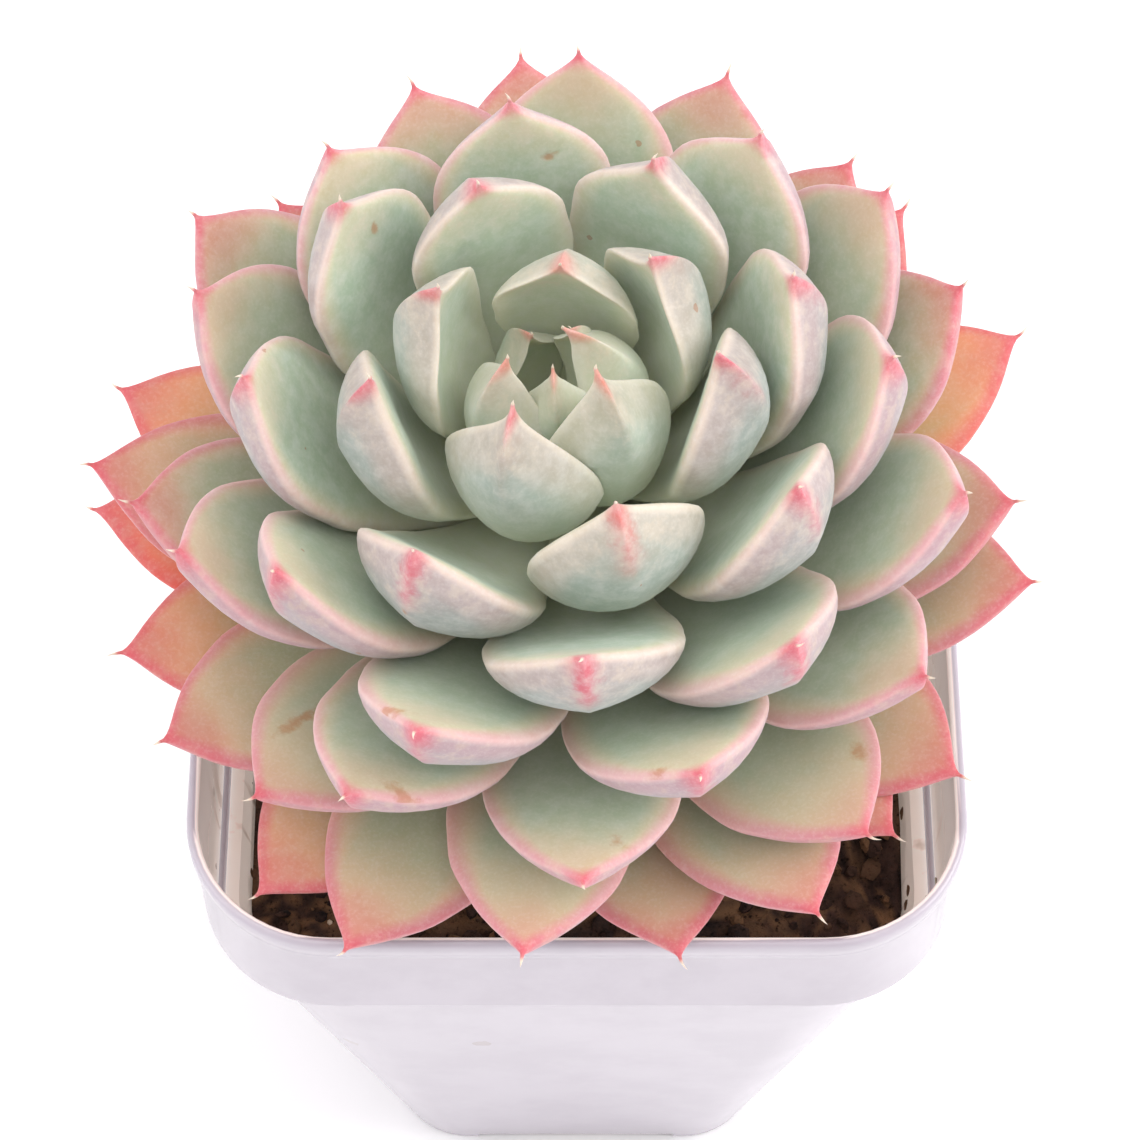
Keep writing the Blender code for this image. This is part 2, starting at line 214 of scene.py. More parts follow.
pot.data.set_sharp_from_angle(angle=math.radians(35))


def attribute(mesh, name, kind, values):
    """Stores one number or vector for each vertex, for the material to read."""
    made = mesh.attributes.new(name, kind, "POINT")
    field = "vector" if kind == "FLOAT_VECTOR" else "value"
    made.data.foreach_set(field, np.asarray(values, np.float32).ravel())


facing_in = []
for vertex in pot.data.vertices:
    outward = (vertex.co - pot_middle) * Vector((1, 1, 0))
    facing_in.append(float(vertex.normal.dot(outward) < -0.3 * outward.length))
attribute(pot.data, "inside", "FLOAT", facing_in)


def paint(red, green, blue):
    """A colour as a paint chart gives it, 0 to 255, made linear."""
    return (*[(part / 255 / 12.92 if part <= 10 else ((part / 255 + 0.055) / 1.055) ** 2.4)
              for part in (red, green, blue)], 1.0)


def put(tree, kind, feeds, out=0, **settings):
    """Adds a node. Each of its feeds is a constant, or the output that feeds the input."""
    made = tree.nodes.new(kind)
    for name, value in settings.items():
        setattr(made, name, value)
    for name, value in feeds.items():
        if isinstance(value, bpy.types.NodeSocket):
            tree.links.new(value, made.inputs[name])
        else:
            made.inputs[name].default_value = value
    return made.outputs[out]


def maths(tree, operation, first, second=0.0):
    return put(tree, "ShaderNodeMath", {0: first, 1: second}, operation=operation)


def fade(tree, value, none, full):
    """0 where value is at none and 1 where it is at full, eased between."""
    return put(tree, "ShaderNodeMapRange", {"Value": value, "From Min": none, "From Max": full},
               interpolation_type="SMOOTHSTEP")


def mixed(tree, share, first, second, blend="MIX"):
    feeds = {0: share, 6: first, 7: second}
    return put(tree, "ShaderNodeMix", feeds, out=2, data_type="RGBA", blend_type=blend)


def grain(tree, place, scale, detail=3.0, roughness=0.5):
    feeds = {"Vector": place, "Scale": scale, "Detail": detail, "Roughness": roughness}
    return put(tree, "ShaderNodeTexNoise", feeds)


def stored(tree, name, out="Fac"):
    return put(tree, "ShaderNodeAttribute", {}, out=out, attribute_name=name)


def new_group(name, inputs, outputs):
    """A shader node group with those named sockets: (tree, its inputs, its output node)."""
    tree = bpy.data.node_groups.new(name, "ShaderNodeTree")
    for label, kind in inputs:
        tree.interface.new_socket(label, in_out="INPUT", socket_type=kind)
    for label, kind in outputs:
        tree.interface.new_socket(label, in_out="OUTPUT", socket_type=kind)
    return tree, tree.nodes.new("NodeGroupInput").outputs, tree.nodes.new("NodeGroupOutput")


def place_group(tree, group, feeds):
    made = tree.nodes.new("ShaderNodeGroup")
    made.node_tree = group
    for name, value in feeds.items():
        if isinstance(value, bpy.types.NodeSocket):
            tree.links.new(value, made.inputs[name])
        else:
            made.inputs[name].default_value = value
    return made.outputs


def new_material(name, **constants):
    """A material with one Principled shader: (material, tree, shader)."""
    made = bpy.data.materials.new(name)
    made.use_nodes = True
    shader = made.node_tree.nodes["Principled BSDF"]
    for label, value in constants.items():
        shader.inputs[label.replace("_", " ")].default_value = value
    return made, made.node_tree, shader


# Specks of dirt or dry tissue: small spots, each in its own cell, only in some cells.
specks, given, made = new_group(
    "specks",
    [("Vector", "NodeSocketVector"), ("Scale", "NodeSocketFloat"),
     ("Size", "NodeSocketFloat"), ("Share", "NodeSocketFloat")],
    [("Mask", "NodeSocketFloat")])
warp = put(specks, "ShaderNodeTexNoise",
           {"Vector": given["Vector"], "Scale": 900.0, "Detail": 2.0}, out=1)
bent = put(specks, "ShaderNodeVectorMath", {0: warp, "Scale": 0.0009}, operation="SCALE")
bent = put(specks, "ShaderNodeVectorMath", {0: given["Vector"], 1: bent}, operation="ADD")
cells = specks.nodes.new("ShaderNodeTexVoronoi")
specks.links.new(bent, cells.inputs["Vector"])
specks.links.new(given["Scale"], cells.inputs["Scale"])
spot = maths(specks, "LESS_THAN", cells.outputs["Distance"], given["Size"])
lucky = put(specks, "ShaderNodeSeparateColor", {0: cells.outputs["Color"]})
chosen = maths(specks, "LESS_THAN", lucky, given["Share"])
specks.links.new(maths(specks, "MULTIPLY", spot, chosen), made.inputs["Mask"])

# White plastic, stained a pinkish beige inside, with soil splashed on the wall above it.
plastic, tree, shader = new_material(
    "white_pot_plastic", IOR=1.5, Specular_IOR_Level=0.5, Coat_Weight=0.35, Coat_Roughness=0.06,
    Subsurface_Weight=0.25, Subsurface_Scale=2 * MM,
    Emission_Strength=0.2)
shader.inputs["Subsurface Radius"].default_value = (1.0, 0.95, 0.95)
place = put(tree, "ShaderNodeTexCoord", {}, out="Object")
inner = stored(tree, "inside")
height = put(tree, "ShaderNodeSeparateXYZ", {0: place}, out="Z")
cloud = grain(tree, place, 90.0, 4.0, 0.6)
streak_place = put(tree, "ShaderNodeVectorMath", {0: place, 1: (1.0, 1.0, 0.12)},
                   operation="MULTIPLY")
streaks = grain(tree, streak_place, 260.0, 3.0)
near_soil = fade(tree, height, rim_height - 2 * MM, rim_height - 26 * MM)
stain = maths(tree, "MULTIPLY", near_soil, maths(tree, "ADD", cloud, 0.35))
stain = maths(tree, "MULTIPLY", stain, inner)
base = mixed(tree, fade(tree, cloud, 0.35, 0.7), paint(186, 179, 188), paint(179, 172, 181))
# Painted light: the inside wall is painted a lighter, warmer white, standing in for the daylight
# that comes through the thin wall.
base = mixed(tree, inner, base, paint(250, 240, 234))
base = mixed(tree, maths(tree, "MULTIPLY", stain, 0.8), base, paint(238, 224, 212))
brown = maths(tree, "MULTIPLY", fade(tree, streaks, 0.56, 0.66), stain)
base = mixed(tree, maths(tree, "MULTIPLY", brown, 0.75), base, paint(150, 116, 88))
splash = place_group(tree, specks, {"Vector": place, "Scale": 420.0, "Size": 0.3, "Share": 0.16})
splash = maths(tree, "MULTIPLY", splash["Mask"],
               maths(tree, "MULTIPLY", fade(tree, near_soil, 0.2, 0.7), inner))
base = mixed(tree, splash, base, paint(96, 66, 44))
dust = place_group(tree, specks, {"Vector": place, "Scale": 130.0, "Size": 0.16, "Share": 0.035})
dust = maths(tree, "MULTIPLY", dust["Mask"], 0.45)
base = mixed(tree, dust, base, paint(160, 146, 138))
tree.links.new(base, shader.inputs["Base Color"])
# Daylight comes through the thin wall, so its inside glows a little.
glow = mixed(tree, inner, (0.0, 0.0, 0.0, 1.0), base)
tree.links.new(glow, shader.inputs["Emission Color"])
dull = maths(tree, "ADD", maths(tree, "MULTIPLY", cloud, 0.12), 0.16)
dull = maths(tree, "ADD", dull, maths(tree, "MULTIPLY", stain, 0.25))
tree.links.new(dull, shader.inputs["Roughness"])
ripple = maths(tree, "ADD", grain(tree, place, 55.0, 2.0), maths(tree, "MULTIPLY", splash, 0.3))
tree.links.new(put(tree, "ShaderNodeBump", {"Strength": 0.25, "Distance": 0.4 * MM,
                                            "Height": ripple}), shader.inputs["Normal"])
pot.data.materials.clear()
pot.data.materials.append(plastic)
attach(pot, "root")
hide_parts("pot")


# --- the soil -------------------------------------------------------------------------
# Peaty potting mix with pumice grit, pressed into the pot round the stem. One closed lump
# has a crumbly top, rougher and a little higher in places against the wall, and loose
# grains and pale grit of the same mix lie on it as a second piece.

SOIL_GAP = 0.3 * MM
SOIL_RINGS = 34
CRUMB = 1.1 * MM
CLINGING = 5 * MM
GRAINS = 1500
LARGEST_GRAIN = 1.4 * MM

soil_low, soil_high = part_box("soil")
soil_level = soil_high.z - 1.5 * MM
soil_half, soil_corner = body_section(soil_level)
soil_half -= POT_WALL + SOIL_GAP
soil_corner -= POT_WALL + SOIL_GAP


def soil_height(spot, share):
    """The crumbly top at a spot; share is 0 at the pot's axis and 1 at the wall."""
    coarse = noise.fractal(spot * 130, 0.9, 2.1, 4, noise_basis="PERLIN_ORIGINAL")
    fine = noise.fractal(spot * 620, 0.8, 2.0, 3, noise_basis="PERLIN_ORIGINAL")
    clod = max(0.0, 1 - 1.5 * noise.voronoi(spot * 360)[0][0])
    clinging = CLINGING * max(0.0, noise.noise(spot * 70)) * share ** 9
    height = 1.2 * MM * (1 - share * share) + CRUMB * (1.3 * coarse + 0.5 * fine + 1.1 * clod)
    return soil_level + height + clinging


depths = ((FLOOR_TOP + SOIL_GAP, 0.9 * MM), (FLOOR_TOP + 3 * MM, 0), (collar_foot / 2, 0),
          (soil_level - 3 * MM, 0), (soil_level - 1.2 * MM, 0))
soil_rings = []
for z, inset in depths:
    half, corner = body_section(z)
    inset += POT_WALL + SOIL_GAP
    soil_rings.append(rounded_square(half - inset, corner - inset, z))
for step in range(SOIL_RINGS):
    share = 1 - step / SOIL_RINGS
    ring = rounded_square(soil_half * share, soil_corner * share, 0)
    soil_rings.append([Vector((*spot.xy, soil_height(spot, share))) for spot in ring])
soil = mesh_piece("soil_fill", sum(soil_rings, []),
                  loft_faces(len(soil_rings), len(soil_rings[0])), sharp=180)
attribute(soil.data, "tone", "FLOAT", [
    0.5 + 0.5 * noise.noise(vertex.co * 700) for vertex in soil.data.vertices])

chance = random.Random(11)
grain_points, grain_faces, grain_tones = [], [], []


def add_grain(centre, radius, squash, tone):
    """A worn angular grain: a small ball, dented by noise and flattened."""
    shape = bmesh.new()
    bmesh.ops.create_icosphere(shape, subdivisions=1, radius=radius)
    turn = Matrix.Rotation(chance.uniform(0, 6.28), 3, Vector(
        (chance.uniform(-1, 1), chance.uniform(-1, 1), 0.3)).normalized())
    start = len(grain_points)
    for vertex in shape.verts:
        dent = 1 + 0.35 * noise.noise(vertex.co / radius * 1.4 + centre * 3000)
        spot = Vector((vertex.co.x * dent, vertex.co.y * dent * squash, vertex.co.z * dent))
        grain_points.append(centre + turn @ spot)
        grain_tones.append(tone)
    grain_faces.extend(tuple(start + v.index for v in face.verts) for face in shape.faces)
    shape.free()


for number in range(GRAINS):
    reach = math.sqrt(chance.uniform(0.12, 1))
    angle = chance.uniform(0, 2 * math.pi)
    across = Vector((math.cos(angle), math.sin(angle), 0))
    square = 1 / max(abs(across.x), abs(across.y))
    limit = min(square, 1.24) * soil_half * 0.97
    spot = Vector((*pot_middle.xy, 0)) + across * reach * limit
    size = LARGEST_GRAIN * chance.uniform(0.2, 1) ** 2.2
    spot.z = soil_height(Vector((spot.x, spot.y, 0)), reach) + size * 0.2
    pale = chance.random()
    tone = 0.9 + 0.1 * pale if pale > 0.97 else pale * 0.72
    add_grain(spot, max(size, 0.25 * MM), chance.uniform(0.5, 0.95), tone)
grains = mesh_piece("soil_grains", grain_points, grain_faces, sharp=50)
attribute(grains.data, "tone", "FLOAT", grain_tones)

earth, tree, shader = new_material("crumbly_soil", Specular_IOR_Level=0.25)
place = put(tree, "ShaderNodeTexCoord", {}, out="Object")
tone = stored(tree, "tone")
patch = grain(tree, place, 240.0, 4.0, 0.65)
grit = grain(tree, place, 1500.0, 3.0, 0.7)
base = mixed(tree, fade(tree, patch, 0.35, 0.65), paint(32, 23, 23), paint(74, 54, 46))
base = mixed(tree, fade(tree, tone, 0.35, 0.75), base, paint(122, 92, 66))
base = mixed(tree, fade(tree, tone, 0.86, 0.92), base, paint(214, 196, 176))
base = mixed(tree, fade(tree, grit, 0.52, 0.75), base, paint(70, 50, 40), "MULTIPLY")
tree.links.new(base, shader.inputs["Base Color"])
tree.links.new(fade(tree, grit, -0.8, 0.9), shader.inputs["Roughness"])
tree.links.new(put(tree, "ShaderNodeBump", {"Strength": 0.8, "Distance": 0.5 * MM,
                                            "Height": grit}), shader.inputs["Normal"])
for piece in (soil, grains):
    piece.data.materials.append(earth)
    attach(piece, "root")
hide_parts("soil")


# --- the stem -------------------------------------------------------------------------
# The short woody stem that carries the rosette. Its skin is corky bark, ringed by the
# scars of leaves that have dropped. It is turned on the stem's own leaning axis, between
# the lowest and highest points of its solid.

LEAN_FRONT = math.radians(7)
LEAN_LEFT = math.radians(3.5)
STEM_SIDES = 40
STEM_ROWS = 90
SCAR_TURN = math.radians(137.1)
SCARS = 46

lean = Matrix.Rotation(-LEAN_LEFT, 3, "Y") @ Matrix.Rotation(LEAN_FRONT, 3, "X")
axis = lean @ Vector((0, 0, 1))


def distinct_points(name):
    """The different corner points of a frame node, in one array."""
    points = np.array([vertex.co for vertex in nodes[name].data.vertices], float)
    return np.unique(points.round(7), axis=0)


stem_points = distinct_points("stem")
along_stem = stem_points @ np.array(axis)
stem_foot = Vector(stem_points[along_stem < along_stem.min() + 0.5 * MM].mean(0))
stem_length = along_stem.max() - along_stem.min()
from_foot = stem_points - np.array(stem_foot)
off_axis = from_foot - np.outer(from_foot @ np.array(axis), np.array(axis))
rows = sorted(zip((from_foot @ np.array(axis)).round(5), np.linalg.norm(off_axis, axis=1)))
profile_z = [row[0] for row in rows if row[1] > 0.3 * MM]
profile_r = [row[1] for row in rows if row[1] > 0.3 * MM]
stem_rings = []
for row in range(STEM_ROWS):
    z = stem_length * (0.004 + 0.99 * row / (STEM_ROWS - 1))
    radius = float(np.interp(z, profile_z, profile_r)) - 0.35 * MM
    ring = []
    for side in range(STEM_SIDES):
        angle = 2 * math.pi * side / STEM_SIDES
        scar = 0.0
        for number in range(SCARS):
            rise = stem_length * (0.16 + 0.8 * number / SCARS)
            if abs(rise - z) > 2.5 * MM:
                continue
            turn = (angle - number * SCAR_TURN + math.pi) % (2 * math.pi) - math.pi
            away = math.hypot((z - rise) / (1.1 * MM), turn * radius / (2.6 * MM))
            scar += 0.45 * MM * math.exp(-(away - 0.8) ** 2 * 6) - 0.2 * MM * math.exp(-away * 3)
        around = Vector((math.cos(angle), math.sin(angle), 0))
        rough = noise.fractal(around * 2.2 + Vector((0, 0, z * 300)), 0.9, 2, 4) * 0.25 * MM
        ring.append(stem_foot + lean @ (around * (radius + scar + rough) + Vector((0, 0, z))))
    stem_rings.append(ring)
stem = mesh_piece("stem_bark", sum(stem_rings, []), loft_faces(STEM_ROWS, STEM_SIDES), 180)

bark, tree, shader = new_material("corky_bark", Specular_IOR_Level=0.3)
place = put(tree, "ShaderNodeTexCoord", {}, out="Object")
fibres = put(tree, "ShaderNodeVectorMath", {0: place, 1: (1.0, 1.0, 0.25)}, operation="MULTIPLY")
fibres = grain(tree, fibres, 900.0, 4.0, 0.6)
cork = grain(tree, place, 300.0, 4.0, 0.6)
base = mixed(tree, fade(tree, cork, 0.3, 0.7), paint(98, 76, 58), paint(172, 142, 112))
base = mixed(tree, fade(tree, fibres, 0.5, 0.72), base, paint(76, 56, 42))
tree.links.new(base, shader.inputs["Base Color"])
tree.links.new(fade(tree, cork, -1.2, 0.9), shader.inputs["Roughness"])
tree.links.new(put(tree, "ShaderNodeBump", {"Strength": 0.6, "Distance": 0.5 * MM,
                                            "Height": fibres}), shader.inputs["Normal"])
stem.data.materials.append(bark)
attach(stem, "root")
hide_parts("stem")


# --- the leaves -----------------------------------------------------------------------
# Thick water-filled leaves on one spiral, each grown as one piece: a channelled upper
# skin, a rounded underside with a keel towards the tip, crisp margins that curve in to a
# point, and a dry hair-thin spine. Each is a fine skin drawn through its solid's sections.

STATIONS = np.array((0.0, 0.13, 0.28, 0.44, 0.60, 0.74, 0.85, 0.92, 0.965))
KNOTS = np.append(STATIONS, 1.0)
COLUMNS = np.array((-1.0, -0.6, 0.0, 0.6, 1.0))
UPPER_SHARE = 0.3
SPINE_SHARE = 0.376
RING_POINTS = 32
LEAF_RINGS = 34
SPINE_RINGS = 9
SPINE_RADIUS = 0.2 * MM
CUSP_AGES = (0, 10, 15, 30, 70)
CUSP_OPENINGS = (0.1, 0.13, 0.4, 0.75, 0.45)
CUSP_POWER = 1.8
SHORT_CUSPS = {5: 3.5, 7: 1.6, 8: 1.6, 10: 4.0}
# How far a leaf's tip curls in over the heart, or stands back from it, in millimetres.
CURL = {0: 0.0, 1: 0.4, 2: 1.2, 3: 3.0, 5: -0.6, 7: -0.6, 8: -0.8, 11: -0.5}
CURL_FROM = 0.45
KEEL = 0.12
UNEVEN = 0.28 * MM
GROWTH_TURN = 137.1
OLDEST = 70


def leaf_sections(name):
    """Reads a leaf's solid: its root point, its three directions, length, and at each of
    STATIONS its half width, middle thickness, and the height of its sheet at COLUMNS."""
    points = distinct_points(name)
    ends = np.linalg.norm(points[:, None] - points[None], axis=2)
    first, last = np.unravel_index(ends.argmax(), ends.shape)
    reach = (points - points[first]) @ (points[last] - points[first]) / ends[first, last] ** 2
    if (reach < 0.1).sum() > (reach > 0.9).sum():
        first, last, reach = last, first, 1 - reach
    foot = points[np.argsort(reach)[:8]]
    along = np.linalg.svd(foot - foot.mean(0))[2][2]
    tip = points[last]
    along *= np.sign((tip - foot[0]) @ along)
    length = (tip - foot[0]) @ along
    root = tip - along * length
    across = np.cross(np.array(axis), along)
    across /= np.linalg.norm(across)
    up = np.cross(along, across)
    share = (points - root) @ along / length
    width, thick, sheet = [], [], []
    for station in STATIONS:
        ring = points[np.abs(share - station) < 0.008] - root
        ring = ring[np.argsort(ring @ across)]
        side, rise = ring @ across, ring @ up
        half = (side[-1] - side[0]) / 2
        pairs = [np.sort(rise[i:i + 2]) for i in (1, 3, 5)]
        width.append(half)
        thick.append(pairs[1][1] - pairs[1][0])
        left, middle, right = (
            pair[1] - part * (pair[1] - pair[0])
            for pair, part in zip(pairs, (SPINE_SHARE, UPPER_SHARE, SPINE_SHARE)))
        sheet.append((rise[0], left, middle, right, rise[-1]))
    return root, along, across, up, length, width, thick, sheet


def smooth_through(knots, values, at):
    """A smooth curve through the values, which turns only where they turn."""
    knots, values = np.asarray(knots), np.asarray(values, float)
    step, rise = np.diff(knots), np.diff(values, axis=0).T
    slope = (rise / step).T
    tangent = np.concatenate([slope[:1], slope[:-1] + slope[1:], slope[-1:]])
    tangent[1:-1] /= 2
    same = np.sign(slope[:-1]) == np.sign(slope[1:])
    limit = 3 * np.minimum(np.abs(slope[:-1]), np.abs(slope[1:]))
    tangent[1:-1] = np.where(same, np.clip(tangent[1:-1], -limit, limit), 0)
    i = np.clip(np.searchsorted(knots, at, side="right") - 1, 0, len(knots) - 2)
    u = (at - knots[i]) / step[i]
    h = step[i]
    return (values[i] * (1 + 2 * u) * (1 - u) ** 2 + values[i + 1] * u * u * (3 - 2 * u)
            + h * tangent[i] * u * (1 - u) ** 2 - h * tangent[i + 1] * u * u * (1 - u))


ACROSS_FIT = np.linalg.inv(np.vander(COLUMNS, 5))
FILL = 0.7
FIRST_FILLED = 10
FILL_FROM, FILL_TO = 0.35, 0.7
LEAST_GAP = 0.15 * MM
PAST_SKIN = 0.03 * MM
FILL_PART, BULGE_PART = 0.25, 0.5
# How far the underside bulges past the plain solid, by the leaf's age, where there is room.
BULGE_AGES = (0, 4, 8, 30, 45, 70)
BULGES = (0.4, 0.9, 1.5, 1.2, 0.6, 0.2)


def bulge_along(share):
    """The bulge's strength from base to tip: none at the base, and a round nose."""
    rise = min(1.0, max(0.0, (share - 0.12) / 0.3))
    nose = max(0.0, (share - 0.72) / 0.28)
    return rise * rise * (3 - 2 * rise) * math.sqrt(max(0.0, 1 - nose * nose))


def tree_of_all():
    """One search tree over every leaf's solid, and the name that each face belongs to."""
    points, faces, owners = [], [], []
    for name, node in nodes.items():
        if name.startswith("leaf_"):
            start = len(points)
            points += [vertex.co.copy() for vertex in node.data.vertices]
            faces += [tuple(start + i for i in face.vertices) for face in node.data.polygons]
            owners += [name] * len(node.data.polygons)
    return BVHTree.FromPolygons(points, faces), owners


neighbours, face_owners = tree_of_all()


def free_room(spot, direction, wanted, owner, part):
    """How far a skin may swell from spot, up to wanted: its part of the gap to the next leaf."""
    if wanted <= 0:
        return 0.0
    start, direction = Vector(spot), Vector(direction)
    gone, limit = 0.0, wanted / part + LEAST_GAP
    while gone < limit:
        hit, _, face, distance = neighbours.ray_cast(start + direction * gone, direction,
                                                     limit - gone)
        if hit is None:
            return wanted
        gone += distance
        if face_owners[face] != owner:
            return min(wanted, max(0.0, gone * part - LEAST_GAP))
        gone += PAST_SKIN
    return wanted


def leaf_skin(name, sections, number, spine, owner, placed=Matrix.Identity(4)):
    """The leaf's fine skin, from base to the end of its spine, with what its material reads."""
    root, along, across, up, length, width, thick, sheet = sections
    luck = random.Random(500 + number)
    opening = np.interp(number, CUSP_AGES, CUSP_OPENINGS) * SHORT_CUSPS.get(number, 1)
    curl = CURL.get(number, 0) * MM
    filled = 0.0 if number < FIRST_FILLED else 1.0
    bulge = np.interp(number, BULGE_AGES, BULGES) * MM
    lean_across, lean_up = luck.uniform(-0.7, 0.7), luck.uniform(-0.2, 0.75)
    angles = 2 * np.pi * np.arange(RING_POINTS) / RING_POINTS
    side = np.cos(angles)
    upper = np.sin(angles) >= -1e-9
    body_end = 1 - 0.35 * SPINE_RADIUS / length
    shares = body_end * (1 - (1 - np.linspace(0, 1, LEAF_RINGS)) ** 1.45)
    points, skin, edge = [], [], []
    for share in shares:
        half = smooth_through(KNOTS, [*width, 0.0], share)
        body = smooth_through(KNOTS, [*thick, 0.0], share)
        column = np.array([smooth_through(KNOTS, [*(row[c] for row in sheet), 0.0], share)
                           for c in range(5)])
        to_tip = (1 - share) * length
        cusp = SPINE_RADIUS + opening * MM * (to_tip / MM) ** CUSP_POWER
        half = (half ** -4 + cusp ** -4) ** -0.25 if half > 0 else 0
        half = max(half, SPINE_RADIUS)
        curled = curl * max(0.0, (share - CURL_FROM) / (1 - CURL_FROM)) ** 2
        height = np.vander(side, 5) @ (ACROSS_FIT @ column)
        far = np.abs(side)
        over = UPPER_SHARE * np.maximum(1 - far ** 3, 0) ** 0.5
        below = (1 - UPPER_SHARE) * np.maximum(1 - far ** 2.1, 0) ** 0.56
        ridge = KEEL * np.exp(-(side / 0.2) ** 2) * np.clip((share - 0.55) / 0.3, 0, 1)
        deep = max(body, 1.4 * SPINE_RADIUS)
        brim = (column[0] * (1 - side) + column[4] * (1 + side)) / 2
        hollow = np.maximum(brim - height, 0) * FILL
        hollow *= np.clip((share - FILL_FROM) / (FILL_TO - FILL_FROM), 0, 1) * filled
        height = height + np.where(upper, over * deep, -(below + ridge) * deep)
        for s, h, on_top, swell in zip(side, height, upper, hollow):
            spot = root + along * share * length + across * s * half + up * (h + curled)
            if on_top:
                spot = spot + up * free_room(spot, up, swell, owner, FILL_PART)
            else:
                wanted = bulge * bulge_along(share) * max(0.0, 1 - s * s) ** 0.6
                spot = spot - up * free_room(spot, -up, wanted, owner, BULGE_PART)
            wave = noise.noise_vector(Vector(spot) * 95 + Vector((number, 0, 0)))
            spot = spot + up * wave.x * UNEVEN * min(1.0, to_tip / (6 * MM))
            rim = noise.noise(Vector((share * 9, number * 3.1, s)))
            spot = spot + across * s * abs(s) ** 3 * rim * 0.35 * MM * min(1, half / (5 * MM))
            points.append(spot)
            margin = (1 - abs(s)) * half + 0.35 * (half - abs(s) * half) * (1 - abs(s))
            skin.append((share * length / MM, s * half / MM, 0.0 if on_top else 1.0))
            edge.append((margin / MM, to_tip / MM, 0.0))
    for step in range(1, SPINE_RINGS + 1):
        u = step / SPINE_RINGS
        radius = SPINE_RADIUS * (1 - 0.93 * u ** 1.3)
        bend = (across * lean_across + up * lean_up) * spine * 0.5 * u * u
        centre = root + along * (body_end * length + spine * u) + bend + up * curl
        for angle, s in zip(angles, side):
            points.append(centre + across * s * radius + up * math.sin(angle) * radius)
            skin.append((length / MM, s * radius / MM, 0.0))
            edge.append((0.0, 0.0, u))
    piece = mesh_piece(name, [placed @ Vector(point) for point in points],
                       loft_faces(LEAF_RINGS + SPINE_RINGS, RING_POINTS), sharp=180)
    attribute(piece.data, "skin", "FLOAT_VECTOR", skin)
    attribute(piece.data, "edge", "FLOAT_VECTOR", edge)
    return piece


# Colours by ripeness, from the heart of the rosette to its oldest, sunniest leaf.
RIPENESS = (0.0, 0.16, 0.34, 0.52, 0.68, 0.84, 1.0)
HEART = ((166, 186, 158), (168, 188, 164), (172, 188, 160), (170, 179, 146), (177, 173, 136),
         (206, 172, 116), (222, 142, 104))
FLANK = ((188, 194, 158), (198, 196, 166), (206, 192, 158), (206, 178, 144), (212, 160, 128),
         (230, 146, 106), (228, 118, 92))
RIM = ((192, 194, 166), (206, 188, 174), (210, 162, 164), (196, 124, 134), (194, 102, 108),
       (210, 94, 88), (208, 84, 78))
BACK = ((160, 178, 160), (150, 161, 156), (150, 147, 152), (164, 149, 152), (182, 150, 142),
        (190, 130, 118), (200, 108, 92))
BACK_RIM = ((182, 184, 156), (172, 159, 154), (176, 146, 153), (186, 130, 137), (196, 114, 112),
            (196, 98, 92), (196, 84, 78))
SALMON = paint(214, 118, 104)
SUNBURNT = paint(198, 88, 94)
CRIMSON = paint(208, 78, 100)
DRY_BROWN = paint(164, 104, 60)
SCAR_TAN = paint(178, 118, 72)
OCHRE = paint(196, 164, 108)
PALE_EDGE = paint(250, 236, 230)
DRY_SPINE = paint(226, 208, 186)


def ripened(tree, ripeness, colours):
    """The colour that a leaf of that ripeness has, between the seven given ones."""
    ramp = tree.nodes.new("ShaderNodeValToRGB")
    tree.links.new(ripeness, ramp.inputs[0])
    stops = ramp.color_ramp.elements
    while len(stops) < len(RIPENESS):
        stops.new(0.5)
    for stop, position, colour in zip(stops, RIPENESS, colours):
        stop.position = position
        stop.color = paint(*colour)
    return ramp.outputs[0]


leaf_colour, given, made = new_group(
    "leaf colour",
    [("Ripeness", "NodeSocketFloat"), ("Band", "NodeSocketFloat"), ("Rim", "NodeSocketFloat"),
     ("Streak", "NodeSocketFloat"), ("Bloom", "NodeSocketFloat")],
    [("Color", "NodeSocketColor"), ("Roughness", "NodeSocketFloat"),
     ("Height", "NodeSocketFloat")])
tree = leaf_colour
place = put(tree, "ShaderNodeTexCoord", {}, out="Object")
skin = put(tree, "ShaderNodeSeparateXYZ", {0: stored(tree, "skin", "Vector")}).node.outputs
edge = put(tree, "ShaderNodeSeparateXYZ", {0: stored(tree, "edge", "Vector")}).node.outputs
cloud = grain(tree, place, 150.0, 4.0, 0.55)
mottle = grain(tree, place, 620.0, 4.0, 0.6)
powder = grain(tree, place, 2600.0, 2.0, 0.6)
uneven = maths(tree, "ADD", maths(tree, "MULTIPLY", cloud, 0.9), 0.55)
margin = maths(tree, "DIVIDE", edge["X"], uneven)
to_tip = maths(tree, "DIVIDE", edge["Y"], uneven)
middle = maths(tree, "ABSOLUTE", skin["Y"])
back = skin["Z"]
band = fade(tree, maths(tree, "DIVIDE", margin, given["Band"]), 1.0, 0.05)
near_point = fade(tree, maths(tree, "DIVIDE", to_tip, given["Band"]), 2.6, 0.7)
band = maths(tree, "MAXIMUM", band, maths(tree, "MULTIPLY", near_point, 0.85))
rim = fade(tree, maths(tree, "DIVIDE", margin, given["Rim"]), 1.0, 0.0)
tipward = maths(tree, "ADD", maths(tree, "MULTIPLY", fade(tree, to_tip, 20.0, 5.0), 0.45), 0.55)
rim = maths(tree, "MULTIPLY", rim, tipward)
front_colour = mixed(tree, band, ripened(tree, given["Ripeness"], HEART),
                     ripened(tree, given["Ripeness"], FLANK))
front_colour = mixed(tree, rim, front_colour, ripened(tree, given["Ripeness"], RIM))
back_rim = maths(tree, "MAXIMUM", fade(tree, margin, 3.4, 0.3),
                 maths(tree, "MULTIPLY", fade(tree, to_tip, 8.0, 2.5), 0.7))
back_colour = mixed(tree, back_rim, ripened(tree, given["Ripeness"], BACK),
                    ripened(tree, given["Ripeness"], BACK_RIM))
